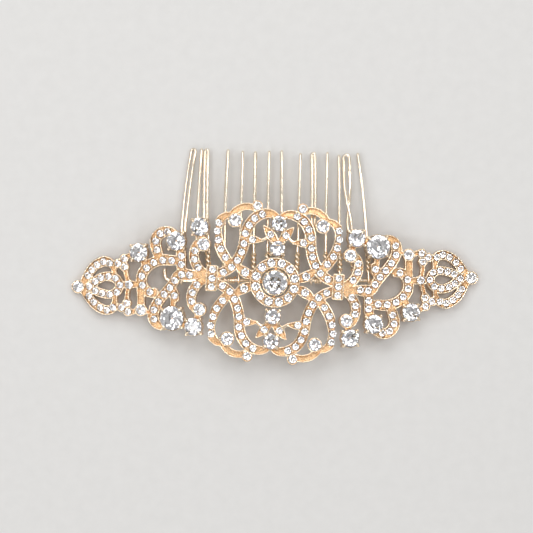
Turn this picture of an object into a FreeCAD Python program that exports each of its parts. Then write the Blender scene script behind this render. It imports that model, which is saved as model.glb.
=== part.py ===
import FreeCAD, Part
import math
import os

from FreeCAD import Placement, Rotation, Vector

# Bridal hair comb: three flat openwork castings (a centre panel and two wings) set with
# crystals, a raised rosette, two bars over the joints, and a wire comb soldered behind.
# Units are millimetres. The comb lies face up, so +Z comes out of its face. +X runs along
# it and +Y runs towards the tips of the tines.

# ---- Overall sizes -------------------------------------------------------------
LENGTH = 115.65          # the ornament's length; its pattern grows and shrinks with it
DRAWN_LENGTH = 115.65    # the pattern's points and crystals below are drawn for this length
TINE_TIP_Y = 37.9        # the longest tine's tip, from the rosette's centre
GROWTH = LENGTH / DRAWN_LENGTH

# ---- Castings ------------------------------------------------------------------
PLATE = 1.7              # back of a ribbon to the top of its rims
FLOOR = 1.2              # back of a ribbon to the floor between the rims
RIM = 0.38               # width of a rim
PANEL_TURN = -4.0        # the panel sits slightly turned on the comb, degrees
WING_TURN = 2.4          # and so do the wings, the other way
WING_TILT = 9.0          # the wings lean back from the panel to follow the head
JOINT_X = 17.7 * GROWTH  # where panel and wing meet, from the rosette's centre
JOINT_GAP = 0.05         # clearance between two castings
WING_REACH = 0.25        # shift that keeps a leaning wing's plan length

# ---- Crystals and their seats --------------------------------------------------
PAVE = 1.9 * GROWTH      # small crystals that line the ribbons
PAVE_LEAF = 1.8 * GROWTH # small crystals of the leaves and trefoils
CROWN = 0.20             # heights as shares of a crystal's diameter
GIRDLE = 0.04
PAVILION = 0.36
TABLE = 0.56             # widths as shares of a crystal's diameter
CULET = 0.30
SEAT_GAP = 0.04          # clearance round a crystal in its seat
ABOVE = 6.0              # a cut that clears everything over a casting
PAVE_LIFT = 0.10         # girdle of a small crystal above the floor
CUP_BASE = 0.5           # metal left under a cup
CUP_WALL = 0.40          # wall of a plain round cup
PRONG_CUP_WALL = 0.20    # wall of a large cup, where prongs hold the crystal
CUP_LIP = 0.15           # how far a cup reaches above the girdle
PRONG_R = 0.42           # prongs of the large cups
PRONG_TOP = 0.45         # their height above the girdle
PRONG_FROM = 4.0         # crystals of this diameter and more have prongs

# ---- Rosette and bars ----------------------------------------------------------
CENTRE_CRYSTAL = 6.6 * GROWTH
CENTRE_BASE = 0.9        # underside of the centre crystal's cup
CENTRE_WALL = 0.35
CENTRE_PRONG_R = 0.3
CUP_CLEAR = 0.5          # open ring between the centre cup and the halo
ROSETTE_HOLE_R = CENTRE_CRYSTAL / 2 + CENTRE_WALL + CUP_CLEAR
BRIDGE_W = 0.9           # four bridges between cup and ring, as wide as they are high
HALO_COUNT = 12
HALO_CRYSTAL = 2.3 * GROWTH
HALO_EDGE = 0.3          # metal each side of the halo's crystals
ROSETTE_R = ROSETTE_HOLE_R + HALO_CRYSTAL + 2 * HALO_EDGE
HALO_R = (ROSETTE_HOLE_R + ROSETTE_R) / 2     # pitch radius of the halo's crystals
ROSETTE_TOP = 2.6        # its rim height above the castings' backs
ROSETTE_FLOOR = 2.1
BAR_STEP = 2.4 * GROWTH  # spacing of the bar's three crystals
BAR_W = PAVE + 1.4
BAR_L = 2 * BAR_STEP + PAVE + 0.65
BAR_H = 1.35
BAR_CORNER = 0.5

# ---- Wire comb -----------------------------------------------------------------
TINE_COUNT = 14
TINE_PITCH = 4.08
TINE_WIRE = 0.8
LEG_SPACING = TINE_WIRE + 0.18                # between the two legs of a tine
TWIST_START = 2.3        # where the twisted stem starts, from the rail
TWIST_END = 8.5          # where it ends, from the rosette's centre
TWIST_TURNS = 2
BEND_SHARE = 0.42        # the share of a straight run that a bend at its end may take
RAIL_WIRE = 1.2
RAIL_Y = 0.6             # where the rail runs, from the rosette's centre
RAIL_HALF = (TINE_COUNT - 1) / 2 * TINE_PITCH + 4.7
RAIL_HOOK = 3.4          # the bent ends of the rail
RAIL_BEND = 1.6
WRAP_GAP = 0.1           # a tine's loop round the rail
LOOP_CLEAR = 0.15        # the loops to the castings' backs
STANDOFF = RAIL_WIRE / 2 + WRAP_GAP + TINE_WIRE + LOOP_CLEAR    # rail's centre to the backs
TIP_LIFT = (TINE_WIRE + LEG_SPACING) / 2 + 0.01     # an outer tine's tip above the table
TIP_ARCH = 1.3           # the middle tines stand this much higher
DROOP = 1.8              # exponent of a tine's curve towards the head
COIL_WIRE = 0.6          # binding coils round the rail
COIL_TURNS = 3
COIL_PITCH = 0.68
COIL_GAP = 0.06          # between a coil and the rail
COIL_X = 3 * TINE_PITCH  # half way between two tines
PAD_R = 1.15             # solder pads between rail and castings
PAD_PANEL_X = 4 * TINE_PITCH
PAD_WING_X = 7 * TINE_PITCH



def grown(items):
    """Points, ribbons and crystals of the pattern at the comb's own length."""
    return [tuple(value * GROWTH for value in item) for item in items]


# A ribbon is a list of (x, y, half width) along its middle. The panel's ribbons are for
# one quadrant, from the rosette's centre.
PANEL_RIBBONS = {
    "heart": [(17.4, 1.3, 1.4), (14.8, 1.9, 1.45), (12.6, 3.5, 1.55), (11.0, 5.6, 1.6),
              (10.0, 7.9, 1.6), (9.4, 10.4, 1.6), (9.15, 13.2, 1.6), (8.35, 15.7, 1.6),
              (6.9, 17.7, 1.6), (4.8, 18.95, 1.5), (2.6, 19.25, 1.3), (0.9, 18.6, 1.0)],
    "outer_loop": [(12.9, 4.3, 1.3), (14.4, 6.1, 1.5), (15.8, 8.3, 1.5), (16.75, 10.8, 1.45),
                   (17.25, 13.3, 1.4), (16.95, 15.7, 1.4), (15.7, 17.4, 1.15), (14.0, 18.2, 0.8)],
    "crest": [(13.4, 18.5, 0.9), (12.3, 19.5, 1.1), (10.9, 20.4, 1.1), (9.3, 20.8, 1.1),
              (7.6, 20.6, 1.0)],
    "spur": [(9.2, 11.8, 1.3), (7.2, 11.6, 1.25), (5.6, 11.6, 0.85), (4.4, 11.4, 0.4)],
    "petal": [(6.5, 1.5, 1.1), (8.5, 2.2, 1.55), (10.6, 3.9, 0.9)],
    "leaf": [(0.5, 11.6, 0.7), (2.1, 13.3, 1.35), (3.3, 14.7, 0.95), (4.1, 15.6, 0.35)],
    "leaf_bridge": [(2.7, 12.9, 0.45), (3.7, 12.0, 0.45), (5.0, 11.5, 0.45)],
}
PANEL_PAVE = [(14.7, 1.9), (12.5, 3.45), (11.0, 5.5), (10.0, 7.9), (9.5, 10.3), (9.3, 13.2),
              (8.4, 15.55), (7.0, 17.6), (4.9, 18.9), (14.35, 6.1), (15.85, 8.35),
              (16.8, 10.8), (17.25, 13.3), (16.95, 15.65), (7.2, 11.6), (2.15, 13.4)]
PANEL_CREST_CRYSTALS = [(12.35, 16.7, 3.4), (6.4, 21.2, 2.3)]
PANEL_PETAL_CRYSTALS = [(8.6, 2.25, 2.2)]
COLUMN_CRYSTALS = [(9.6, 4.2), (16.55, 4.3)]

# The left wing's ribbons, from the rosette's centre. The right wing is the same casting
# turned half round.
WING_RIBBONS = {
    "tongue": [(-17.0, 2.9, 1.3), (-19.2, 3.0, 1.15), (-21.2, 3.1, 1.25), (-23.6, 3.2, 1.6),
               (-25.8, 3.5, 1.8), (-27.2, 3.5, 1.0)],
    "upper_curl": [(-19.4, 3.6, 1.3), (-21.1, 5.3, 1.4), (-22.0, 7.6, 1.45), (-21.7, 10.1, 1.45),
                   (-20.5, 12.2, 1.3)],
    "lower_curl": [(-18.6, 1.9, 1.2), (-21.6, 0.3, 1.45), (-23.0, -1.9, 1.45),
                   (-23.35, -4.4, 1.35), (-22.4, -6.4, 1.2)],
    "strut": [(-25.7, 4.6, 1.4), (-25.8, 6.4, 1.45), (-25.7, 8.7, 1.45), (-26.2, 10.8, 1.3)],
    "c_scroll": [(-26.6, 7.3, 1.2), (-28.6, 7.5, 1.55), (-31.1, 7.7, 1.6), (-33.7, 7.1, 1.6),
                 (-35.9, 5.6, 1.6), (-37.3, 3.3, 1.6), (-37.3, 0.9, 1.6), (-36.0, -0.9, 1.5),
                 (-34.0, -1.4, 1.4)],
    "s_scroll": [(-27.3, 3.2, 1.2), (-28.0, 1.6, 1.4), (-29.4, -0.2, 1.5), (-31.1, -2.0, 1.5),
                 (-32.9, -4.1, 1.55), (-34.2, -6.5, 1.6), (-34.4, -8.9, 1.6),
                 (-33.2, -10.7, 1.2), (-31.4, -11.3, 0.8)],
    "side_lobe": [(-28.6, -0.6, 1.2), (-28.2, -2.4, 1.45), (-27.7, -3.5, 0.9)],
    "stalk": [(-28.4, -2.6, 0.8), (-28.6, -4.4, 0.8), (-28.8, -6.6, 0.8)],
    "hook": [(-32.1, 8.4, 1.3), (-32.7, 10.7, 1.55), (-32.9, 13.1, 1.65), (-31.6, 15.1, 1.65),
             (-29.4, 15.7, 1.5), (-27.5, 14.9, 1.2)],
    "drop_plate": [(-37.8, -0.6, 1.15), (-37.8, -3.2, 1.15), (-37.9, -5.4, 1.15)],
    "drop_lug": [(-37.0, -6.6, 0.6), (-36.0, -6.8, 0.6), (-35.0, -6.9, 0.6)],
    "shoulder_lug": [(-19.3, 13.0, 0.9), (-19.6, 14.0, 0.9), (-19.8, 15.0, 0.9)],
    "foot_lug": [(-21.6, -8.2, 0.9), (-21.9, -9.0, 0.9), (-22.2, -9.8, 0.9)],
    "toe_lug": [(-26.5, -9.8, 0.9), (-25.6, -10.2, 0.9), (-24.7, -10.6, 0.9)],
    "crown_lug": [(-37.0, 8.4, 0.9), (-36.6, 7.4, 0.9), (-36.2, 6.4, 0.9)],
    "neck": [(-43.2, 1.2, 0.95), (-41.1, 1.15, 1.1), (-38.4, 1.2, 0.95)],
    "almond_upper": [(-54.0, 0.8, 1.0), (-52.4, 1.2, 1.2), (-50.9, 2.4, 1.35),
                     (-49.2, 3.4, 1.35), (-47.0, 3.75, 1.4), (-45.0, 3.1, 1.4),
                     (-43.8, 1.1, 1.3)],
    "almond_lower": [(-52.4, 0.8, 1.1), (-50.9, -0.2, 1.25), (-49.0, -1.0, 1.3),
                     (-46.9, -1.4, 1.25), (-44.9, -0.8, 1.3), (-43.8, 1.1, 1.3)],
    "upper_leaf": [(-54.4, 2.2, 1.0), (-53.1, 4.1, 1.3), (-51.9, 5.8, 1.4), (-50.2, 7.25, 1.45),
                   (-48.3, 8.0, 1.5), (-46.5, 7.6, 1.3), (-45.4, 6.2, 0.9), (-45.2, 4.6, 0.7)],
    "lower_leaf": [(-54.4, -0.1, 1.0), (-53.1, -1.8, 1.3), (-51.7, -3.6, 1.35),
                   (-49.8, -5.15, 1.4), (-47.9, -5.8, 1.4), (-46.2, -5.3, 1.3),
                   (-45.5, -3.8, 0.9), (-45.3, -2.2, 0.7)],
    "upper_sprig": [(-46.0, 7.5, 0.8), (-44.0, 7.2, 0.8), (-42.1, 8.5, 0.8), (-40.0, 9.4, 0.8)],
    "lower_sprig": [(-45.8, -5.3, 0.8), (-43.6, -5.2, 0.8), (-41.8, -6.4, 0.8),
                    (-39.6, -6.3, 0.8)],
    "upper_tail": [(-42.2, 6.2, 0.7), (-41.8, 4.2, 0.65), (-41.3, 1.8, 0.65)],
    "lower_tail": [(-41.9, -4.2, 0.7), (-41.8, -2.2, 0.65), (-41.3, 0.6, 0.65)],
}
TREFOIL_R = 1.35         # round seat of one trefoil crystal
TREFOILS = [(-44.1, 7.25), (-42.2, 8.55), (-42.2, 6.2), (-43.6, -5.25), (-41.95, -4.1),
            (-41.75, -6.5)]
WING_PAVE = [(-25.85, 3.4), (-23.6, 3.1), (-21.0, 5.15), (-22.0, 7.5), (-21.75, 9.9),
             (-21.6, 0.3), (-23.0, -1.85), (-23.3, -4.3), (-25.7, 8.6), (-25.8, 6.2),
             (-28.5, 7.4), (-31.1, 7.6), (-33.7, 7.05), (-35.85, 5.6), (-37.35, 3.4),
             (-37.3, 0.8), (-35.2, -1.2), (-27.85, 1.75), (-29.35, -0.2), (-31.1, -2.0),
             (-32.85, -4.05), (-34.25, -6.3), (-34.3, -8.9), (-28.2, -2.5), (-32.6, 10.6),
             (-32.9, 13.1), (-31.5, 15.1), (-29.4, 15.6)]
WING_LEAF_PAVE = [(-53.0, 4.15), (-51.8, 5.75), (-50.2, 7.15), (-48.3, 7.95), (-46.5, 7.4),
                  (-52.95, -1.65), (-51.6, -3.45), (-49.8, -5.05), (-47.9, -5.85),
                  (-46.15, -5.15), (-52.7, 1.1), (-50.95, 2.45), (-49.25, 3.4),
                  (-47.0, 3.7), (-45.0, 3.1), (-43.75, 1.1), (-44.75, -0.95),
                  (-46.9, -1.4), (-49.0, -1.0), (-50.95, -0.2)]
NECK_CRYSTAL = (-41.15, 1.15, 2.2)
WING_ROUND_CRYSTALS = [(-55.9, 1.1, 3.0), (-37.95, -6.2, 2.8), (-21.1, -6.65, 3.2),
                       (-19.15, 11.6, 3.3)]
WING_LARGE_CRYSTALS = {
    "brow": (-37.7, 10.05, 5.0),
    "hook": (-26.8, 12.85, 5.2),
    "heart": (-28.85, -8.8, 6.7),
    "foot": (-22.95, -11.45, 4.9),
    "shoulder": (-19.9, 16.55, 5.0),
}

# Tines from -X to +X: how far the tip and the middle stand to +X of the base, as shares of
# the pitch, how much shorter the tine is than the longest, how far up its length that
# middle is (0 to 1), the direction in which the second leg lies (90 is straight below the
# first) and how much further apart the legs stand than LEG_SPACING.
TINES = [
    (0.84, 0.15, 0.00, 0.40, 25, 0.37), (0.40, 0.12, 0.10, 0.49, 90, 0.00),
    (-0.25, -0.28, 0.20, 0.48, 15, 0.00), (0.24, 0.04, 0.40, 0.50, 80, 0.00),
    (0.27, 0.15, 0.85, 0.50, 90, 0.00), (0.15, 0.08, 1.00, 0.51, 100, 0.00),
    (0.11, 0.01, 0.85, 0.50, 90, 0.00), (-0.02, -0.03, 0.70, 0.50, 85, 0.00),
    (0.28, 0.14, 1.50, 0.51, 90, 0.00), (0.17, 0.17, 1.20, 0.51, 20, 0.00),
    (0.16, 0.05, 1.20, 0.51, 95, 0.00), (-0.04, -0.04, 2.00, 0.52, 90, 0.00),
    (-0.52, -0.30, 1.60, 0.40, 20, 0.72), (-0.72, -0.15, 1.40, 0.40, 90, 0.00),
]
CROSSED_TINE = 12        # its legs cross once, half way along

# ---- Frames of the castings ----------------------------------------------------
TILT = math.radians(WING_TILT)
WING_END_X = min(x - d / 2 - CUP_WALL for x, y, d in grown(WING_ROUND_CRYSTALS))
BACK_Z = (-WING_END_X - JOINT_X) * math.sin(TILT)      # the panel's back above the table
PANEL_FRAME = Placement(Vector(0, 0, BACK_Z), Rotation(Vector(0, 0, 1), PANEL_TURN))


def wing_frame(half_turns):
    """The wing leans about the joint line, then turns about the rosette's axis."""
    lean = Placement(Vector(-WING_REACH, 0, 0), Rotation(Vector(0, 1, 0), -WING_TILT),
                     Vector(-JOINT_X, 0, 0))
    turn = Placement(Vector(0, 0, BACK_Z),
                     Rotation(Vector(0, 0, 1), WING_TURN + 180 * half_turns))
    return turn.multiply(lean)


# ---- Shapes --------------------------------------------------------------------
def ribbon_face(points, inset):
    """The outline of a ribbon with round ends, made narrower by the inset all round."""
    nodes = [Vector(x, y, half) for x, y, half in points]
    stops = [0.0]
    for first, second in zip(nodes, nodes[1:]):
        stops.append(stops[-1] + (second - first).Length)
    middle = Part.BSplineCurve()
    middle.interpolate(Points=nodes, Parameters=stops)
    steps = 3 * (len(points) - 1)
    left = []
    right = []
    for step in range(steps + 1):
        at = stops[-1] * step / steps
        spot = middle.value(at)
        along = middle.tangent(at)[0]
        along = Vector(along.x, along.y, 0).normalize()
        across = Vector(-along.y, along.x, 0) * max(spot.z - inset, 0.05)
        spot = Vector(spot.x, spot.y, 0)
        left.append(spot + across)
        right.append(spot - across)
        if step == 0:
            start_cap = spot - along * across.Length
        if step == steps:
            end_cap = spot + along * across.Length
    side = Part.BSplineCurve()
    side.interpolate(left)
    back = Part.BSplineCurve()
    back.interpolate(right[::-1])
    edges = [side.toShape(), Part.Arc(left[-1], end_cap, right[-1]).toShape(),
             back.toShape(), Part.Arc(right[0], start_cap, left[0]).toShape()]
    return Part.Face(Part.Wire(edges))


def disc_face(x, y, radius):
    circle = Part.Circle(Vector(x, y, 0), Vector(0, 0, 1), radius)
    return Part.Face(Part.Wire([circle.toShape()]))


def openwork(ribbons, discs, inset, bottom, top):
    """Every ribbon and disc of a casting, raised between two heights and joined."""
    faces = [ribbon_face(points, inset) for points in ribbons]
    faces += [disc_face(x, y, radius - inset) for x, y, radius in discs]
    prisms = []
    for face in faces:
        face.translate(Vector(0, 0, bottom))
        prisms.append(face.extrude(Vector(0, 0, top - bottom)))
    return prisms[0].fuse(prisms[1:]).removeSplitter()


def rod(x, y, radius, bottom, top):
    return Part.makeCylinder(radius, top - bottom, Vector(x, y, bottom))


def crystal(x, y, size, girdle):
    """A round cut crystal: table, crown, girdle, pavilion and a flat culet."""
    radius = size / 2
    profile = [(0, -PAVILION * size), (CULET * radius, -PAVILION * size), (radius, 0),
               (radius, GIRDLE * size), (TABLE * radius, (GIRDLE + CROWN) * size),
               (0, (GIRDLE + CROWN) * size), (0, -PAVILION * size)]
    wire = Part.makePolygon([Vector(x + out, y, girdle + up) for out, up in profile])
    return Part.Face(wire).revolve(Vector(x, y, 0), Vector(0, 0, 1), 360)


def cup_girdle(size):
    return CUP_BASE + PAVILION * size


def cup(x, y, size):
    """The outside of a cup, with four prongs when it is large."""
    girdle = cup_girdle(size)
    if size < PRONG_FROM:
        pieces = [rod(x, y, size / 2 + CUP_WALL, 0, girdle + CUP_LIP)]
    else:
        pieces = [rod(x, y, size / 2 + PRONG_CUP_WALL, 0, girdle)]
        reach = size / 2 + PRONG_R + SEAT_GAP
        for quarter in range(4):
            angle = math.radians(45 + 90 * quarter)
            pieces.append(rod(x + reach * math.cos(angle), y + reach * math.sin(angle),
                              PRONG_R, 0, girdle + PRONG_TOP))
    return pieces


def seat(x, y, size, girdle):
    """What is cut away for one crystal."""
    return rod(x, y, size / 2 + SEAT_GAP, girdle - PAVILION * size, girdle + ABOVE)


def casting(ribbons, discs, set_crystals, cup_crystals):
    """One openwork casting: rimmed ribbons, cups, and a seat for every crystal."""
    plate = openwork(ribbons, discs, 0, 0, PLATE)
    trough = openwork(ribbons, discs, RIM, FLOOR, PLATE + 1)
    cups = [piece for x, y, size in cup_crystals for piece in cup(x, y, size)]
    seats = [seat(x, y, size, FLOOR + PAVE_LIFT) for x, y, size in set_crystals]
    seats += [seat(x, y, size, cup_girdle(size)) for x, y, size in cup_crystals]
    return plate.cut(trough).fuse(cups).cut(seats)


def largest_solid(shape):
    return max(shape.Solids, key=lambda solid: solid.Volume)


def tube(points, wire, longest_cut=9.0):
    """A wire along straight runs that are joined by tangent arcs."""
    edges = []
    start = points[0]
    for before, corner, after in zip(points, points[1:], points[2:]):
        incoming = corner - before
        outgoing = after - corner
        cut = min(BEND_SHARE * incoming.Length, BEND_SHARE * outgoing.Length, longest_cut)
        half_turn = incoming.getAngle(outgoing) / 2
        first = corner - Vector(incoming).normalize() * cut
        last = corner + Vector(outgoing).normalize() * cut
        inward = Vector(Vector(outgoing).normalize() - Vector(incoming).normalize()).normalize()
        sink = cut / math.tan(half_turn) * (1 / math.cos(half_turn) - 1)
        edges.append(Part.LineSegment(start, first).toShape())
        edges.append(Part.Arc(first, corner + inward * sink, last).toShape())
        start = last
    edges.append(Part.LineSegment(start, points[-1]).toShape())
    ring = Part.Circle(points[0], points[1] - points[0], wire / 2)
    path = Part.Wire(edges)
    solid = path.makePipe(Part.Face(Part.Wire([ring.toShape()])))
    expected = path.Length * math.pi * wire * wire / 4
    if abs(solid.Volume / expected - 1) > 0.01:
        raise ValueError("a wire's volume is not its section times its length")
    return solid


def placed(shape, frame):
    moved = shape.copy()
    moved.Placement = frame.multiply(moved.Placement)
    return moved


# ---- Centre panel --------------------------------------------------------------
def quadrants(items):
    """Mirror points or ribbons (x, y, ...) into the four quadrants."""
    copies = []
    for side in (1, -1):
        for up in (1, -1):
            for item in items:
                copies.append((side * item[0], up * item[1]) + tuple(item[2:]))
    return copies


def panel_ribbons():
    ribbons = []
    for side in (1, -1):
        for up in (1, -1):
            for points in PANEL_RIBBONS.values():
                ribbons.append([(side * x, up * y, half) for x, y, half in grown(points)])
    return ribbons


PANEL_SMALL = quadrants([(x, y, PAVE) for x, y in grown(PANEL_PAVE)])
PANEL_PETALS = quadrants(grown(PANEL_PETAL_CRYSTALS))
PANEL_CRESTS = quadrants(grown(PANEL_CREST_CRYSTALS))
PANEL_COLUMN = [(0, up * y, size) for up in (1, -1) for y, size in grown(COLUMN_CRYSTALS)]


def centre_panel():
    shape = casting(panel_ribbons(), [], PANEL_SMALL + PANEL_PETALS,
                    PANEL_CRESTS + PANEL_COLUMN)
    shape = shape.cut(rod(0, 0, ROSETTE_R, -1, PLATE + ABOVE))
    width = 2 * (JOINT_X - JOINT_GAP)
    between = Part.makeBox(width, LENGTH, 2 * ABOVE, Vector(-width / 2, -LENGTH / 2, -1))
    return largest_solid(shape.common(between))


def panel_zone():
    """The space that the wings leave free for the panel."""
    width = 2 * JOINT_X
    tall = 16 * GROWTH
    middle = Part.makeBox(width, tall, 2 * ABOVE, Vector(-width / 2, -tall / 2, -ABOVE))
    return [middle, openwork(panel_ribbons(), [], -JOINT_GAP, -ABOVE, ABOVE)]


# ---- Rosette and bars ----------------------------------------------------------
HALO = [(HALO_R * math.cos(math.radians(15 + 360 / HALO_COUNT * k)),
         HALO_R * math.sin(math.radians(15 + 360 / HALO_COUNT * k)), HALO_CRYSTAL)
        for k in range(HALO_COUNT)]
CENTRE_GIRDLE = CENTRE_BASE + CUP_BASE + PAVILION * CENTRE_CRYSTAL


def rosette():
    ring = rod(0, 0, ROSETTE_R, 0, ROSETTE_TOP).cut(rod(0, 0, ROSETTE_HOLE_R, -1, ABOVE))
    trough = rod(0, 0, ROSETTE_R - RIM, ROSETTE_FLOOR, ABOVE)
    trough = trough.cut(rod(0, 0, ROSETTE_HOLE_R + RIM, 0, ABOVE))
    centre_cup = rod(0, 0, CENTRE_CRYSTAL / 2 + CENTRE_WALL, CENTRE_BASE,
                     CENTRE_GIRDLE + CUP_LIP)
    bridges = []
    for quarter in range(4):
        inside = CENTRE_CRYSTAL / 2 - CENTRE_PRONG_R
        bridge = Part.makeBox(ROSETTE_HOLE_R + BRIDGE_W - inside, BRIDGE_W, BRIDGE_W,
                              Vector(inside, -BRIDGE_W / 2, CENTRE_BASE))
        bridge.rotate(Vector(0, 0, 0), Vector(0, 0, 1), 90 * quarter)
        bridges.append(bridge)
    prongs = []
    for quarter in range(4):
        angle = math.radians(45 + 90 * quarter)
        reach = CENTRE_CRYSTAL / 2 + CENTRE_PRONG_R + SEAT_GAP
        prongs.append(rod(reach * math.cos(angle), reach * math.sin(angle), CENTRE_PRONG_R,
                          CENTRE_BASE, CENTRE_GIRDLE + PRONG_TOP))
    seats = [seat(x, y, size, ROSETTE_FLOOR + PAVE_LIFT) for x, y, size in HALO]
    seats.append(seat(0, 0, CENTRE_CRYSTAL, CENTRE_GIRDLE))
    return largest_solid(ring.cut(trough).fuse([centre_cup] + bridges + prongs).cut(seats))


BAR_CRYSTALS = [(0, BAR_STEP * k, PAVE) for k in (-1, 0, 1)]


def bar():
    """A rimmed bar with three crystals, about its own middle."""
    block = Part.makeBox(BAR_W, BAR_L, BAR_H, Vector(-BAR_W / 2, -BAR_L / 2, PLATE))
    upright = [edge for edge in block.Edges if abs(edge.tangentAt(0).z) > 0.9]
    block = block.makeFillet(BAR_CORNER, upright)
    tray = Part.makeBox(BAR_W - 2 * RIM, BAR_L - 2 * RIM, ABOVE,
                        Vector(RIM - BAR_W / 2, RIM - BAR_L / 2, bar_floor()))
    seats = [seat(x, y, size, bar_floor() + PAVE_LIFT) for x, y, size in BAR_CRYSTALS]
    return block.cut(tray).cut(seats)


def bar_floor():
    return PLATE + BAR_H - (PLATE - FLOOR)


def bar_frame(side):
    return PANEL_FRAME.multiply(Placement(Vector(side * (JOINT_X + JOINT_GAP), 0, 0), Rotation()))


# ---- Wings ---------------------------------------------------------------------
NECK = grown([NECK_CRYSTAL])[0]
WING_SET = [(x, y, PAVE) for x, y in grown(WING_PAVE)]
WING_SET += [(x, y, PAVE_LEAF) for x, y in grown(WING_LEAF_PAVE + TREFOILS)]
WING_SET.append(NECK)
WING_ROUND = grown(WING_ROUND_CRYSTALS)


def wing():
    ribbons = [grown(points) for points in WING_RIBBONS.values()]
    discs = [(x, y, TREFOIL_R * GROWTH) for x, y in grown(TREFOILS)]
    discs.append(NECK[:2] + (NECK[2] / 2 + RIM,))
    return casting(ribbons, discs, WING_SET, WING_ROUND + grown(WING_LARGE_CRYSTALS.values()))


def set_group(crystals, girdle, frame):
    """Several loose crystals as one node."""
    return [placed(crystal(x, y, size, girdle), frame) for x, y, size in crystals]


def cup_group(crystals, frame):
    return [placed(crystal(x, y, size, cup_girdle(size)), frame) for x, y, size in crystals]


# ---- Wire comb -----------------------------------------------------------------
def rail_z(x):
    return BACK_Z - STANDOFF - max(0, abs(x) - JOINT_X) * math.tan(TILT)


def rail():
    end_z = rail_z(RAIL_HALF)
    return tube([Vector(-RAIL_HALF, RAIL_Y + RAIL_HOOK, end_z), Vector(-RAIL_HALF, RAIL_Y, end_z),
                 Vector(-JOINT_X, RAIL_Y, rail_z(0)), Vector(JOINT_X, RAIL_Y, rail_z(0)),
                 Vector(RAIL_HALF, RAIL_Y, end_z), Vector(RAIL_HALF, RAIL_Y + RAIL_HOOK, end_z)],
                RAIL_WIRE, RAIL_BEND)


def tine(index):
    """A hairpin: two ends looped over the rail, a twisted stem, two legs and a fold."""
    base_x = TINE_PITCH * (index - (TINE_COUNT - 1) / 2)
    tip_lean, mid_lean, shorter, mid, roll, spread = TINES[index]
    tip_y = TINE_TIP_Y - shorter
    base_z = rail_z(base_x)
    tip_z = TIP_LIFT + TIP_ARCH * (1 - (base_x / (TINE_PITCH * TINE_COUNT / 2)) ** 2)
    reach = tip_y - RAIL_Y

    def middle(y):
        share = (y - RAIL_Y) / reach
        bow = (mid_lean - tip_lean * mid) / (mid * (1 - mid))
        x = base_x + TINE_PITCH * (tip_lean * share + bow * share * (1 - share))
        return Vector(x, y, base_z + (tip_z - base_z) * share ** DROOP)

    stations = []
    first_twist = RAIL_Y + TWIST_START
    twist_steps = 8 * TWIST_TURNS
    for step in range(twist_steps + 1):
        y = first_twist + (TWIST_END - first_twist) * step / twist_steps
        turn = 90 + (roll - 90 + 360 * TWIST_TURNS) * step / twist_steps
        stations.append((y, turn, LEG_SPACING))
    leg_steps = 6
    for step in range(1, leg_steps + 1):
        share = step / leg_steps
        turn = roll + (180 * min(1, max(0, 2 * share - 0.5)) if index == CROSSED_TINE else 0)
        gap = LEG_SPACING + spread * min(1, 2 * share)
        stations.append((TWIST_END + (tip_y - TWIST_END) * share, turn, gap))

    def strand(sign):
        loop = RAIL_WIRE / 2 + TINE_WIRE / 2 + WRAP_GAP
        points = []
        for angle in (172, 130, 90):
            bend = math.radians(angle)
            points.append(Vector(base_x, RAIL_Y + loop * math.cos(bend),
                                 base_z + sign * loop * math.sin(bend)))
        for y, turn, gap in stations:
            angle = math.radians(turn)
            offset = Vector(math.cos(angle), 0, math.sin(angle)) * (sign * gap / 2)
            points.append(middle(y) + offset)
        return points

    return tube(strand(1) + strand(-1)[::-1], TINE_WIRE)


def coil(side):
    """A binding coil between two tines."""
    radius = RAIL_WIRE / 2 + COIL_WIRE / 2 + COIL_GAP
    points = []
    for step in range(8 * COIL_TURNS + 1):
        angle = 2 * math.pi * step / 8
        x = side * COIL_X + COIL_PITCH * (step / 8 - COIL_TURNS / 2)
        points.append(Vector(x, RAIL_Y + radius * math.cos(angle),
                             rail_z(x) + radius * math.sin(angle)))
    return tube(points, COIL_WIRE)


def pad(x, y, frame, rail_solid):
    """A solder pad that fills the space between the rail and a casting's back."""
    post = placed(rod(x, y, PAD_R, -STANDOFF, 0), frame)
    return largest_solid(post.cut(rail_solid))


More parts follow.
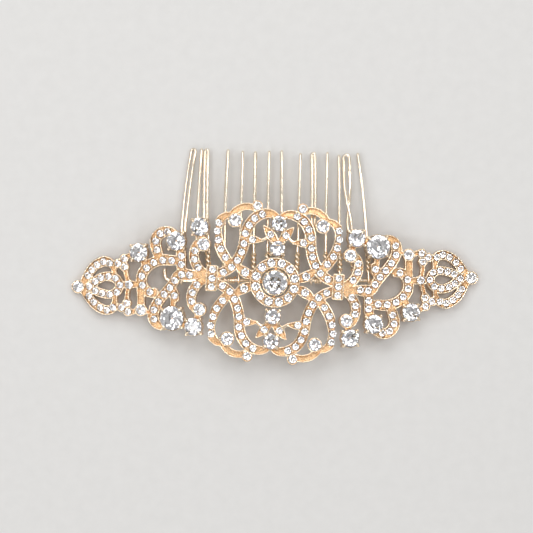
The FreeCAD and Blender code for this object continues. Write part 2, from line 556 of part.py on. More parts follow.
# ---- The nodes -----------------------------------------------------------------
def build_nodes():
    nodes = {}
    panel = placed(centre_panel(), PANEL_FRAME)
    nodes["centre_panel"] = [panel]
    nodes["panel_small_crystals"] = set_group(PANEL_SMALL, FLOOR + PAVE_LIFT, PANEL_FRAME)
    nodes["panel_petal_crystals"] = set_group(PANEL_PETALS, FLOOR + PAVE_LIFT, PANEL_FRAME)
    nodes["panel_crest_crystals"] = cup_group(PANEL_CRESTS, PANEL_FRAME)
    nodes["panel_column_crystals"] = cup_group(PANEL_COLUMN, PANEL_FRAME)
    nodes["rosette"] = [placed(rosette(), PANEL_FRAME)]
    nodes["rosette_halo_crystals"] = set_group(HALO, ROSETTE_FLOOR + PAVE_LIFT, PANEL_FRAME)
    nodes["centre_crystal"] = [placed(crystal(0, 0, CENTRE_CRYSTAL, CENTRE_GIRDLE), PANEL_FRAME)]

    zone = [placed(piece, PANEL_FRAME) for piece in panel_zone()]
    wing_casting = wing()
    for half_turns, side in enumerate(("left", "right")):
        frame = wing_frame(half_turns)
        nodes[side + "_wing"] = [largest_solid(placed(wing_casting, frame).cut(zone))]
        nodes[side + "_wing_small_crystals"] = set_group(WING_SET, FLOOR + PAVE_LIFT, frame)
        nodes[side + "_wing_round_crystals"] = cup_group(WING_ROUND, frame)
        for name, large in WING_LARGE_CRYSTALS.items():
            nodes[side + "_" + name + "_crystal"] = cup_group(grown([large]), frame)
        across = bar_frame(half_turns * 2 - 1)
        nodes[side + "_bar"] = [placed(bar(), across)]
        nodes[side + "_bar_crystals"] = set_group(BAR_CRYSTALS, bar_floor() + PAVE_LIFT, across)

    rail_solid = rail()
    nodes["comb_rail"] = [rail_solid]
    for index in range(TINE_COUNT):
        nodes["tine_%02d" % (index + 1)] = [tine(index)]
    nodes["binding_coils"] = [coil(-1), coil(1)]
    pads = []
    for half_turns in (0, 1):
        side = half_turns * 2 - 1
        pads.append(pad(side * PAD_PANEL_X, RAIL_Y, Placement(Vector(0, 0, BACK_Z), Rotation()),
                        rail_solid))
        frame = wing_frame(half_turns)
        spot = frame.inverse().multVec(Vector(side * PAD_WING_X, RAIL_Y, rail_z(PAD_WING_X)))
        pads.append(pad(spot.x, spot.y, frame, rail_solid))
    nodes["solder_pads"] = pads
    return nodes


def main():
    """Set the origin under the middle of the footprint and write one file per node."""
    nodes = build_nodes()
    box = FreeCAD.BoundBox()
    for solids in nodes.values():
        for solid in solids:
            box.add(solid.optimalBoundingBox(False))
    shift = Placement(Vector(-box.Center.x, -box.Center.y, -box.ZMin), Rotation())
    os.makedirs("parts", exist_ok=True)
    for name, solids in nodes.items():
        moved = [placed(solid, shift) for solid in solids]
        shape = moved[0] if len(moved) == 1 else Part.makeCompound(moved)
        shape.exportStep("parts/" + name + ".step")
        print(name, len(moved), "solids", round(shape.Volume, 2), "mm3", shape.isValid())
    print("overall", round(box.XLength, 2), round(box.YLength, 2), round(box.ZLength, 2))


main()
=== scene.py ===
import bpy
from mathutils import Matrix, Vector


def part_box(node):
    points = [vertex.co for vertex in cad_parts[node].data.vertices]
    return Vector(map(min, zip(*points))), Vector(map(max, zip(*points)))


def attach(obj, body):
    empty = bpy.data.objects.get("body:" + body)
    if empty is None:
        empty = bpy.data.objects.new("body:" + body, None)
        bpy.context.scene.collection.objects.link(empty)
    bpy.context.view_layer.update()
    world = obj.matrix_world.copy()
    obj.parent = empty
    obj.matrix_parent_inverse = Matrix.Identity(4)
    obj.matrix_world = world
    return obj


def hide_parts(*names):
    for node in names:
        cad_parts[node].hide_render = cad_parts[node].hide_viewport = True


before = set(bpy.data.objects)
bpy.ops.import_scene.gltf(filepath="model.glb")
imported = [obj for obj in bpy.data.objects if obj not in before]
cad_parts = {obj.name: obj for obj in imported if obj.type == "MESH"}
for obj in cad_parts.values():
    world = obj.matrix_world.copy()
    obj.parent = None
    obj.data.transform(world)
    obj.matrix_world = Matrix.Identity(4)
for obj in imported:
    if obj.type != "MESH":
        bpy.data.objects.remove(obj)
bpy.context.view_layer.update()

import math

import bmesh
import bpy
from mathutils import Matrix, Vector
from mathutils.bvhtree import BVHTree

# ---- Castings ------------------------------------------------------------------
# The panel, the two wings, the halo rosette and the two joint bars are cast in a cheap alloy
# with thin rims, tumbled until each edge is soft, and plated a warm, slightly rosy gold. The
# sunk floors between the rims get a painted shade of deeper gold, and are duller there too.
MM = 0.001
EDGE_VOXEL = 0.13
HALO_VOXEL = 0.1
BAR_VOXEL = 0.08
FLOOR_H = 1.2
HALO_FLOOR_H = 2.1
BAR_FLOOR_H = 0.85
LIP = 0.42
LIP_FADE = 0.30
WALL_SHADE = 0.2
UPWARD = 0.3
MERGE = 0.002
DRIFT_SCALE = 220.0
CLOUD_SCALE = 1400.0
PIT_SCALE = 5200.0
PIT_DEPTH = 0.03


class Value:
    """What a node works out: arithmetic on it adds Math nodes."""

    def __init__(self, tree, socket):
        self.tree = tree
        self.socket = socket

    def also(self, output):
        """Another result of the same node."""
        return Value(self.tree, self.socket.node.outputs[output])

    def joined(self, operation, first, second):
        return Nodes(self.tree).node("ShaderNodeMath", {"operation": operation}, {0: first, 1: second})

    def __add__(self, other):
        return self.joined("ADD", self, other)

    __radd__ = __add__

    def __mul__(self, other):
        return self.joined("MULTIPLY", self, other)

    __rmul__ = __mul__


class Nodes:
    """A node tree, filled one node at a time."""

    def __init__(self, tree):
        self.tree = tree

    def node(self, kind, settings, values, output=0):
        """A node with its settings made first, then its sockets' values or links."""
        made = self.tree.nodes.new(kind)
        for name, setting in settings.items():
            setattr(made, name, setting)
        for name, value in values.items():
            if isinstance(value, Value):
                self.tree.links.new(value.socket, made.inputs[name])
            else:
                made.inputs[name].default_value = value
        return Value(self.tree, made.outputs[output]) if made.outputs else None


class Finish(Nodes):
    """One material, patterned from the place of each spot on its piece."""

    def __init__(self, name):
        self.material = bpy.data.materials.new(name)
        self.material.use_nodes = True
        super().__init__(self.material.node_tree)
        self.tree.nodes.clear()
        self.spot = self.node("ShaderNodeTexCoord", {}, {}, "Object")

    def noise(self, scale, detail):
        return self.node("ShaderNodeTexNoise", {}, {
            "Vector": self.spot, "Scale": scale, "Detail": detail, "Roughness": 0.55})

    def ramp(self, value, low, high):
        return self.node("ShaderNodeMapRange", {"interpolation_type": "SMOOTHSTEP"}, {
            "Value": value, "From Min": low, "From Max": high, "To Min": 0.0, "To Max": 1.0})

    def mix(self, share, first, second):
        return self.node("ShaderNodeMix", {"data_type": "RGBA"}, {
            "Factor": share, 6: first, 7: second}, 2)

    def surface(self, values):
        shader = self.node("ShaderNodeBsdfPrincipled", {}, values)
        self.node("ShaderNodeOutputMaterial", {}, {"Surface": shader})
        return self.material


def plated_gold(name, bright, deep, polish, pitting):
    """Gold plating: colour drifts a little, and the recesses get a painted shade of deeper gold and are
    duller.
    """
    metal = Finish(name)
    drift = metal.noise(DRIFT_SCALE, 2.0)
    cloud = metal.noise(CLOUD_SCALE, 4.0)
    pits = metal.noise(PIT_SCALE, 3.0)
    recess = metal.node("ShaderNodeAttribute", {"attribute_name": "recess"}, {}, "Fac")
    worn = metal.ramp(cloud, 0.42, 0.66)
    # Painted shade: the recess mark darkens the colour towards the deep gold in sunk floors and
    # down-facing walls; the drift adds random tone.
    shade = recess * 0.8 + metal.ramp(drift, 0.35, 0.75) * 0.18
    tone = metal.mix(shade, bright, deep)
    tarnish = metal.ramp(pits, 0.50, 0.72) * (recess * 0.55 + 0.06)
    colour = metal.mix(tarnish, tone, (deep[0] * 0.55, deep[1] * 0.42, deep[2] * 0.34, 1.0))
    gloss = polish + worn * 0.07 + recess * 0.12
    height = pits * (recess * 0.8 + 0.2) + cloud * 0.35
    dents = metal.node("ShaderNodeBump", {}, {
        "Strength": pitting, "Distance": PIT_DEPTH * MM, "Height": height})
    return metal.surface({
        "Base Color": colour, "Metallic": 1.0, "Roughness": gloss, "Normal": dents})


CAST_GOLD = plated_gold("cast_gold", (0.98, 0.81, 0.60, 1.0), (0.78, 0.47, 0.23, 1.0), 0.14, 0.55)


def joined_mesh(node):
    """A CAD node's triangles with their shared corners merged."""
    mesh = bmesh.new()
    mesh.from_mesh(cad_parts[node].data)
    bmesh.ops.remove_doubles(mesh, verts=mesh.verts, dist=MERGE * MM)
    mesh.faces.ensure_lookup_table()
    return mesh


def facing_of(faces):
    """The way a flat-topped piece looks: its upward faces together, by area."""
    facing = Vector()
    for face in faces:
        if face.normal.z > UPWARD:
            facing += face.normal * face.calc_area()
    return facing.normalized()


def way_up(node):
    mesh = joined_mesh(node)
    facing = facing_of(mesh.faces)
    mesh.free()
    return facing


def settled(piece):
    """The piece with its modifiers turned into a plain mesh."""
    bpy.context.view_layer.update()
    graph = bpy.context.evaluated_depsgraph_get()
    mesh = bpy.data.meshes.new_from_object(piece.evaluated_get(graph))
    piece.modifiers.clear()
    piece.data = mesh
    return piece


def linked(name, mesh):
    piece = bpy.data.objects.new(name, mesh)
    bpy.context.scene.collection.objects.link(piece)
    return piece


def place(piece, slot, *nodes):
    """The piece rides on the comb and stands for its CAD nodes."""
    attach(piece, "root")
    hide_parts(*nodes)
    return piece


def tumbled(name, node, slot, finish, facing, floor, voxel, rounds, most):
    """A copy of a CAD piece, worn soft, with its sunk floor marked as a recess, which the finish darkens
    as painted shade.
    """
    mesh = joined_mesh(node)
    data = bpy.data.meshes.new(name)
    mesh.to_mesh(data)
    mesh.free()
    # The voxels are in millimetres, so the copy is too until it has been worn soft.
    data.transform(Matrix.Scale(1 / MM, 4))
    piece = linked(name, data)
    remesh = piece.modifiers.new("soften", "REMESH")
    remesh.mode = "VOXEL"
    remesh.voxel_size = voxel
    smooth = piece.modifiers.new("tumble", "SMOOTH")
    smooth.factor = 0.5
    smooth.iterations = rounds
    settled(piece)
    triangles = 2 * len(piece.data.polygons)
    if triangles > most:
        thin = piece.modifiers.new("thin", "DECIMATE")
        thin.ratio = most / triangles
        settled(piece)
    data = piece.data
    data.transform(Matrix.Scale(MM, 4))
    back = min(corner.co.dot(facing) for corner in data.vertices)
    recess = data.attributes.new("recess", "FLOAT", "POINT")
    for corner in data.vertices:
        height = (corner.co.dot(facing) - back) / MM
        low = min(1.0, max(0.0, (floor + LIP - height) / LIP_FADE))
        # Painted shade: low floor points get the recess mark by height, and walls facing down get
        # WALL_SHADE, for the finish to darken.
        recess.data[corner.index].value = low if corner.normal.dot(facing) > -UPWARD else WALL_SHADE
    data.shade_smooth()
    data.materials.clear()
    data.materials.append(finish)
    return place(piece, slot, node)


def cast(name, node, facing, floor, voxel, rounds, most):
    return tumbled(name, node, "plated_casting", CAST_GOLD, facing, floor, voxel, rounds, most)


PANEL_UP = way_up("centre_crystal")
CASTS = {
    "panel": cast("panel_cast", "centre_panel", PANEL_UP, FLOOR_H, EDGE_VOXEL, 3, 190000),
    "rosette": cast("rosette_cast", "rosette", PANEL_UP, HALO_FLOOR_H, HALO_VOXEL, 4, 90000),
}
for side in ("left", "right"):
    CASTS[side] = cast(side + "_wing_cast", side + "_wing", way_up(side + "_heart_crystal"),
                       FLOOR_H, EDGE_VOXEL, 3, 190000)
    CASTS[side + "_bar"] = cast(side + "_bar_cast", side + "_bar", PANEL_UP,
                                BAR_FLOOR_H, BAR_VOXEL, 5, 20000)

# ---- Crystals ------------------------------------------------------------------
# Round cut glass crystals with a mirror foil on the pavilion. Each has an eight-sided
# table, star, kite and half facets on its crown, and kites and halves below the girdle.
# Sizes are shares of a crystal's width.
CROWN = 0.20
GIRDLE = 0.04
PAVILION = 0.36
TABLE_R = 0.28
CROWN_MID_R = 0.41
PAVILION_MID_R = 0.30
CULET_R = 0.02
FACETS = 8
LOOSE_TURN = math.pi / 4


def crystal_glass():
    glass = Finish("cut_crystal")
    smear = glass.ramp(glass.noise(900.0, 2.0), 0.45, 0.8)
    return glass.surface({
        "Base Color": (1.0, 1.0, 1.0, 1.0), "Metallic": 0.0, "Roughness": smear * 0.035,
        "IOR": 1.56, "Transmission Weight": 1.0})


def crystal_foil():
    foil = Finish("crystal_foil")
    wrinkle = foil.ramp(foil.noise(2600.0, 2.0), 0.4, 0.75)
    tint = foil.mix(wrinkle, (0.97, 0.97, 0.98, 1.0), (0.88, 0.88, 0.90, 1.0))
    return foil.surface({
        "Base Color": tint, "Metallic": 1.0, "Roughness": wrinkle * 0.05 + 0.01})


CRYSTAL = crystal_glass()
FOIL = crystal_foil()


def ring(count, radius, height, turn):
    """Points round the crystal's axis; turn is a share of one step."""
    return [Vector((radius * math.cos(2 * math.pi * (k + turn) / count),
                    radius * math.sin(2 * math.pi * (k + turn) / count), height))
            for k in range(count)]


def cut_crystal():
    """A crystal one unit across, its girdle's lower edge at the origin."""
    flat = math.cos(math.pi / FACETS)
    crown_slope = CROWN / (0.5 - TABLE_R)
    crown_mid = GIRDLE + CROWN - crown_slope * (CROWN_MID_R * flat - TABLE_R)
    pavilion_mid = PAVILION * (PAVILION_MID_R * flat / 0.5 - 1)
    rings = [ring(FACETS, TABLE_R, GIRDLE + CROWN, 0), ring(FACETS, CROWN_MID_R, crown_mid, 0.5),
             ring(2 * FACETS, 0.5, GIRDLE, 0), ring(2 * FACETS, 0.5, 0, 0),
             ring(FACETS, PAVILION_MID_R, pavilion_mid, 0.5), ring(FACETS, CULET_R, -PAVILION, 0)]
    mesh = bmesh.new()
    table, mid, upper, lower, under, culet = [[mesh.verts.new(spot) for spot in each] for each in rings]
    mesh.faces.new(table)
    mesh.faces.new(culet[::-1])
    for k in range(FACETS):
        after = (k + 1) % FACETS
        left = 2 * k
        middle = left + 1
        right = (left + 2) % (2 * FACETS)
        mesh.faces.new((table[k], mid[k], table[after]))
        mesh.faces.new((table[k], mid[k - 1], upper[left], mid[k]))
        mesh.faces.new((mid[k], upper[left], upper[middle]))
        mesh.faces.new((mid[k], upper[middle], upper[right]))
        mesh.faces.new((under[k], lower[middle], lower[left]))
        mesh.faces.new((under[k], lower[right], lower[middle]))
        mesh.faces.new((culet[k], under[k], lower[left], under[k - 1]))
        mesh.faces.new((culet[k], culet[after], under[k]))
        mesh.faces.new((upper[left], lower[left], lower[middle], upper[middle]))
        mesh.faces.new((upper[middle], lower[middle], lower[right], upper[right]))
    bmesh.ops.recalc_face_normals(mesh, faces=mesh.faces)
    data = bpy.data.meshes.new("one_crystal")
    mesh.to_mesh(data)
    mesh.free()
    foil = data.attributes.new("foil", "FLOAT", "FACE")
    for face in data.polygons:
        foil.data[face.index].value = 1.0 if face.center.z < 0 else 0.0
    return bpy.data.objects.new("one_crystal", data)


def touching(first, seen):
    """The faces that hang together with the first one, which are then seen."""
    seen.add(first)
    found = [first]
    for face in found:
        for edge in face.edges:
            for beside in edge.link_faces:
                if beside not in seen:
                    seen.add(beside)
                    found.append(beside)
    return found


def crystal_seats(node):
    """For each crystal of a CAD node: girdle's middle, diameter and the way it faces."""
    mesh = joined_mesh(node)
    seen = set()
    seats = []
    for first in mesh.faces:
        if first in seen:
            continue
        found = touching(first, seen)
        facing = facing_of(found)
        spots = [spot.co for spot in dict.fromkeys(corner for face in found for corner in face.verts)]
        heights = [spot.dot(facing) for spot in spots]
        size = (max(heights) - min(heights)) / (CROWN + GIRDLE + PAVILION)
        girdle = min(heights) + PAVILION * size
        wide = [spot for spot in spots if abs(spot.dot(facing) - girdle) < 0.02 * size]
        seats.append((sum(wide, Vector()) / len(wide), size, facing))
    mesh.free()
    return seats


class Jig(Nodes):
    """A Geometry Nodes tree with named inputs, for what repeats or follows a path."""

    def __init__(self, name, inputs):
        super().__init__(bpy.data.node_groups.new(name, "GeometryNodeTree"))
        socket = self.tree.interface.new_socket
        socket("Geometry", in_out="INPUT", socket_type="NodeSocketGeometry")
        for label, kind in inputs.items():
            socket(label, in_out="INPUT", socket_type="NodeSocket" + kind)
        socket("Geometry", in_out="OUTPUT", socket_type="NodeSocketGeometry")
        self.start = self.tree.nodes.new("NodeGroupInput")

    def given(self, label):
        return Value(self.tree, self.start.outputs[label])

    def marked(self, name, kind):
        """What one of the mesh's own attributes says."""
        return self.node("GeometryNodeInputNamedAttribute", {"data_type": kind}, {"Name": name},
                         "Attribute")

    def chance(self, least, most):
        """A number for each point, by the tree's seed."""
        return self.node("FunctionNodeRandomValue", {"data_type": "FLOAT"}, {
            2: least, 3: most, "Seed": self.given("Seed")}, 1)

    def copies(self, points, shape, rotation, scale):
        instance = self.node("GeometryNodeObjectInfo", {}, {"Object": self.given(shape)}, "Geometry")
        return self.node("GeometryNodeInstanceOnPoints", {}, {
            "Points": points, "Instance": instance, "Rotation": rotation, "Scale": scale})

    def made_real(self, made):
        made = self.node("GeometryNodeRealizeInstances", {}, {"Geometry": made})
        return self.node("GeometryNodeSetMaterial", {}, {
            "Geometry": made, "Material": self.given("Finish")})

    def ends(self, made):
        self.node("NodeGroupOutput", {}, {"Geometry": made})
        return self.tree


def give(piece, tree, values):
    """Put a tree on a piece and set its inputs by their identifiers."""
    modifier = piece.modifiers.new(tree.name, "NODES")
    modifier.node_group = tree
    for item in tree.interface.items_tree:
        if item.in_out == "INPUT" and item.name in values:
            modifier[item.identifier] = values[item.name]
    return settled(piece)


def setting_jig():
    """Sets a copy of one shape on every point, facing the way the point says."""
    jig = Jig("set_in_place", {"Shape": "Object", "Finish": "Material", "Foil": "Material",
                               "Loose turn": "Float", "Seed": "Int"})
    face = jig.node("FunctionNodeAlignRotationToVector", {"axis": "Z"}, {
        "Vector": jig.marked("facing", "FLOAT_VECTOR")})
    along = jig.node("FunctionNodeAlignRotationToVector", {"axis": "X", "pivot_axis": "Z"}, {
        "Rotation": face, "Vector": jig.marked("heading", "FLOAT_VECTOR")})
    spin = jig.node("FunctionNodeAxisAngleToRotation", {}, {
        "Axis": (0, 0, 1), "Angle": jig.chance(0.0, jig.given("Loose turn"))})
    turned = jig.node("FunctionNodeRotateRotation", {"rotation_space": "LOCAL"}, {
        "Rotation": along, "Rotate By": spin})
    made = jig.made_real(jig.copies(
        jig.given("Geometry"), "Shape", turned, jig.marked("size", "FLOAT")))
    return jig.ends(jig.node("GeometryNodeSetMaterial", {}, {
        "Geometry": made, "Selection": jig.marked("foil", "FLOAT"), "Material": jig.given("Foil")}))


SETTING = setting_jig()


def set_on_points(name, slot, points, values, *nodes):
    """A shape set on each point, which is its place, size, facing and heading."""
    mesh = bpy.data.meshes.new(name)
    mesh.from_pydata([spot for spot, size, facing, heading in points], [], [])
    sizes = mesh.attributes.new("size", "FLOAT", "POINT")
    facings = mesh.attributes.new("facing", "FLOAT_VECTOR", "POINT")
    headings = mesh.attributes.new("heading", "FLOAT_VECTOR", "POINT")
    for index, (spot, size, facing, heading) in enumerate(points):
        sizes.data[index].value = size
        facings.data[index].vector = facing
        headings.data[index].vector = heading
    return place(give(linked(name, mesh), SETTING, values), slot, *nodes)


ONE_CRYSTAL = cut_crystal()
LARGE_NAMES = ["brow", "hook", "heart", "foot", "shoulder"]
CRYSTAL_NODES = ["centre_crystal", "rosette_halo_crystals", "panel_small_crystals",
                 "panel_petal_crystals", "panel_crest_crystals", "panel_column_crystals"]
for side in ("left", "right"):
    CRYSTAL_NODES += [side + "_wing_small_crystals", side + "_wing_round_crystals",
                      side + "_bar_crystals"]
    CRYSTAL_NODES += [side + "_" + name + "_crystal" for name in LARGE_NAMES]
for seed, node in enumerate(CRYSTAL_NODES):
    seats = [(middle, size, facing, (1, 0, 0)) for middle, size, facing in crystal_seats(node)]
    set_on_points("cut_" + node, "crystal", seats, {
        "Shape": ONE_CRYSTAL, "Finish": CRYSTAL, "Foil": FOIL, "Loose turn": LOOSE_TURN,
        "Seed": seed}, node)

# ---- Beads ---------------------------------------------------------------------
# Small beads raised from the castings' floor are pushed over the girdles of the small
# crystals, two between each pair and one at each corner of a row's end. They take a paler
# copy of the cast gold as a painted highlight, the brightest gold on the comb.
BEAD_R = 0.33
BEAD_RISE = 0.20
TOO_NEAR = 0.34
PROBE = 2.2
# The rest are shares of a crystal's width: how near a neighbour is, how far out the beads
# stand beside a pair, at a row's end and round a lone crystal, and what stays clear.
NEIGHBOUR = 3.1 / 1.9
BESIDE = 0.36
AT_END = 0.40
ROUND_LONE = 0.56
CLEAR = 0.44
# Painted highlight: the beads, grains and claws take this paler copy of the cast gold.
PAINTED_HIGHLIGHT_GOLD = plated_gold("bead_gold", (0.99, 0.86, 0.68, 1.0), (0.90, 0.66, 0.42, 1.0), 0.08, 0.15)


def drop(name, width, height, rings):
    """A drop of metal one unit in radius: a bead, or longer towards where it points."""
    mesh = bmesh.new()
    bmesh.ops.create_uvsphere(mesh, u_segments=8, v_segments=rings, radius=1.0)
    for corner in mesh.verts:
        corner.co.y *= width
        corner.co.z *= height
    data = bpy.data.meshes.new(name)
    mesh.to_mesh(data)
    mesh.free()
    data.shade_smooth()
    return bpy.data.objects.new(name, data)


def diagonals(along, across):
    """The four ways out halfway between two crossed directions."""
    for quarter in range(4):
        angle = math.radians(45 + 90 * quarter)
        yield along * math.cos(angle) + across * math.sin(angle)


def beads_for(seats, casting):
    """Beads beside a row of crystals: between neighbours, and round the row's ends."""
    metal = BVHTree.FromObject(casting, bpy.context.evaluated_depsgraph_get())
    beads = []

    def try_bead(spot, facing, heading):
        if metal.ray_cast(spot + facing * MM, -facing, PROBE * MM)[0] is None:
            return
        if any((spot - other[0]).length < TOO_NEAR * MM for other in beads):
            return
        if any((spot - middle).length < CLEAR * wide for middle, wide, up in seats):
            return
        beads.append((spot + facing * BEAD_RISE * MM, BEAD_R * MM, facing, heading))

    for middle, wide, facing in seats:
        near = [(other, other_wide) for other, other_wide, up in seats
                if 0 < (other - middle).length < NEIGHBOUR * wide]
        for other, other_wide in near:
            along = (other - middle).normalized()
            across = facing.cross(along)
            between = middle.lerp(other, wide / (wide + other_wide))
            for hand in (1, -1):
                try_bead(between + across * hand * BESIDE * (wide + other_wide) / 2, facing, along)
        if len(near) == 1:
            away = (middle - near[0][0]).normalized()
            across = facing.cross(away)
            for hand in (1, -1):
                try_bead(middle + (away + across * hand) * AT_END * wide, facing, away)
        if not near:
            level = Vector((1, 0, 0))
            for away in diagonals(level, facing.cross(level)):
                try_bead(middle + away * ROUND_LONE * wide, facing, away)
    return beads


def set_metal(name, shape, points, seed):
    # The beads and claws take the paler gold as painted highlight.
    return set_on_points(name, "plated_casting", points, {
        "Shape": shape, "Finish": PAINTED_HIGHLIGHT_GOLD, "Foil": PAINTED_HIGHLIGHT_GOLD, "Loose turn": 0.0, "Seed": seed})


def seats_of(*nodes):
    return [seat for node in nodes for seat in crystal_seats(node)]


BEAD = drop("bead", 1.0, 0.95, 6)
set_metal("panel_beads", BEAD, beads_for(
    seats_of("panel_small_crystals", "panel_petal_crystals"), CASTS["panel"]), 1)
set_metal("rosette_beads", BEAD, beads_for(
    seats_of("rosette_halo_crystals"), CASTS["rosette"]), 2)
for side in ("left", "right"):
    set_metal(side + "_wing_beads", BEAD, beads_for(
        seats_of(side + "_wing_small_crystals"), CASTS[side]), 3)
    set_metal(side + "_bar_beads", BEAD, beads_for(
        seats_of(side + "_bar_crystals"), CASTS[side + "_bar"]), 4)

# ---- Grains --------------------------------------------------------------------
# The floors between the crystals and the plain ends of the scrolls are stippled with fine
# grains, which the casting mould left standing, in the beads' paler gold as painted highlight.
GRAIN_R = 0.25
GRAIN_SPACE = 0.58
GRAIN_CLEAR = 0.12
GRAIN_DENSITY = 2.0e7
SMALLEST_GRAIN = 0.7
LARGEST_GRAIN = 1.1
LEVEL = 0.93
SUNK = 0.9


def grain_jig():
    """Scatters grains evenly over the faces that are marked as plain floor."""
    jig = Jig("stipple", {"Grain": "Object", "Space": "Float", "Radius": "Float",
                          "Finish": "Material", "Seed": "Int"})
    spread = jig.node("GeometryNodeDistributePointsOnFaces", {"distribute_method": "POISSON"}, {
        "Mesh": jig.given("Geometry"), "Selection": jig.marked("plain", "FLOAT"),
        "Distance Min": jig.given("Space"), "Density Max": GRAIN_DENSITY,
        "Seed": jig.given("Seed")})
    size = jig.chance(SMALLEST_GRAIN, LARGEST_GRAIN) * jig.given("Radius")
    return jig.ends(jig.made_real(jig.copies(spread, "Grain", spread.also("Rotation"), size)))


GRAIN = drop("grain", 1.0, 0.8, 4)
STIPPLE = grain_jig()


def stipple(name, casting, seats, seed):
    """Grains over the sunk floor of one casting, clear of its crystals and walls."""
    mesh = casting.data.copy()
    facing = seats[0][2]
    plain = mesh.attributes.new("plain", "FLOAT", "POINT")
    recess = mesh.attributes["recess"].data
    for corner in mesh.vertices:
        floor = corner.normal.dot(facing) > LEVEL and recess[corner.index].value > SUNK
        clear = floor and all((corner.co - middle).length > wide / 2 + GRAIN_CLEAR * MM
                              for middle, wide, up in seats)
        plain.data[corner.index].value = 1.0 if clear else 0.0
    piece = give(linked(name, mesh), STIPPLE, {
        "Grain": GRAIN, "Space": GRAIN_SPACE * MM, "Radius": GRAIN_R * MM, "Finish": PAINTED_HIGHLIGHT_GOLD,
        "Seed": seed})
    return place(piece, "plated_casting")


stipple("panel_grains", CASTS["panel"], seats_of(
    "panel_small_crystals", "panel_petal_crystals", "panel_crest_crystals",
    "panel_column_crystals"), 11)
for seed, side in enumerate(("left", "right")):
    stipple(side + "_wing_grains", CASTS[side], seats_of(
        side + "_wing_small_crystals", side + "_wing_round_crystals"), 12 + seed)

# ---- Claws ---------------------------------------------------------------------
# Four claws are cast round each large crystal and bent over its girdle with a pusher. They
# stand square to the casting, and the whole panel and the wings are turned a little.
PANEL_TURN = -4.0
WING_TURN = 2.4
CLAW_TOP = 0.45
CLAW_HALF = 0.62
CLAW_GAP = 0.05
CLAW_LEAN = 0.45
CLAW = drop("claw", 0.66, 0.58, 6)


def claws_for(seats, turn):
    """Four claws round each large crystal, each pointing at its middle."""
    claws = []
    for middle, wide, facing in seats:
        angle = math.radians(turn)
        along = Vector((math.cos(angle), math.sin(angle), 0))
        along = (along - facing * along.dot(facing)).normalized()
        for away in diagonals(along, facing.cross(along)):
            spot = middle + away * (wide / 2 + CLAW_GAP * MM) + facing * CLAW_TOP * MM
            claws.append((spot, CLAW_HALF * MM, (facing + away * CLAW_LEAN).normalized(),
                          (facing * CLAW_LEAN - away).normalized()))
    return claws


set_metal("panel_claws", CLAW, claws_for(seats_of("panel_column_crystals"), PANEL_TURN), 5)
set_metal("centre_claws", CLAW, claws_for(seats_of("centre_crystal"), PANEL_TURN), 6)
for side in ("left", "right"):
    large = seats_of(*[side + "_" + name + "_crystal" for name in LARGE_NAMES])
    set_metal(side + "_wing_claws", CLAW, claws_for(large, WING_TURN), 7)

# ---- Wire comb -----------------------------------------------------------------
# A stiff rail runs behind the castings. Each tine is one hard wire bent like a hairpin,
# its ends looped over the rail and twisted together; two coils bind the rail. All of it is
# drawn wire with a paler, smoother plating than the castings.
WIRE_GOLD = plated_gold("wire_gold", (0.99, 0.89, 0.74, 1.0), (0.92, 0.70, 0.46, 1.0), 0.12, 0.18)
RAIL_WIRE = 1.2
TINE_WIRE = 0.8
TINE_COUNT = 14
TINE_PITCH = 4.08
LEG_SPACING = TINE_WIRE + 0.18
TINE_TIP_Y = 37.9
TWIST_START = 2.3
TWIST_END = 8.5
TWIST_TURNS = 2
WRAP_GAP = 0.1
LOOP_CLEAR = 0.15
LOOP_ANGLES = (172, 130, 90)
STANDOFF = RAIL_WIRE / 2 + WRAP_GAP + TINE_WIRE + LOOP_CLEAR
RAIL_Y = 0.6
RAIL_END = 4.7
RAIL_HALF = (TINE_COUNT - 1) / 2 * TINE_PITCH + RAIL_END
RAIL_HOOK = 3.4
RAIL_BEND = 1.6
WIDEST_BEND = 9.0
JOINT_X = 17.7
WING_TILT = math.radians(9.0)
TIP_LIFT = (TINE_WIRE + LEG_SPACING) / 2 + 0.01
TIP_ARCH = 1.3
DROOP = 1.8
TURN_STEPS = 8
LEG_STEPS = 6
BEND_STEPS = 4
WIRE_SIDES = 12
CROSSED_TINE = 12
# For each tine: how far its tip and its middle lean, in pitches; how much shorter it is; how
# far along that middle is; the turn of its two legs; and how much further apart they stand.
TINES = [
    (0.84, 0.15, 0.00, 0.40, 25, 0.37), (0.40, 0.12, 0.10, 0.49, 90, 0.00),
    (-0.25, -0.28, 0.20, 0.48, 15, 0.00), (0.24, 0.04, 0.40, 0.50, 80, 0.00),
    (0.27, 0.15, 0.85, 0.50, 90, 0.00), (0.15, 0.08, 1.00, 0.51, 100, 0.00),
    (0.11, 0.01, 0.85, 0.50, 90, 0.00), (-0.02, -0.03, 0.70, 0.50, 85, 0.00),
    (0.28, 0.14, 1.50, 0.51, 90, 0.00), (0.17, 0.17, 1.20, 0.51, 20, 0.00),
    (0.16, 0.05, 1.20, 0.51, 95, 0.00), (-0.04, -0.04, 2.00, 0.52, 90, 0.00),
    (-0.52, -0.30, 1.60, 0.40, 20, 0.72), (-0.72, -0.15, 1.40, 0.40, 90, 0.00),
]
# Where the rosette's axis stands on the table, and how high the panel's back is there.
AXIS = (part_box("centre_crystal")[0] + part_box("centre_crystal")[1]) / 2 / MM
BACK_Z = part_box("centre_panel")[0].z / MM


def rail_z(x):
    return BACK_Z - STANDOFF - max(0, abs(x) - JOINT_X) * math.tan(WING_TILT)


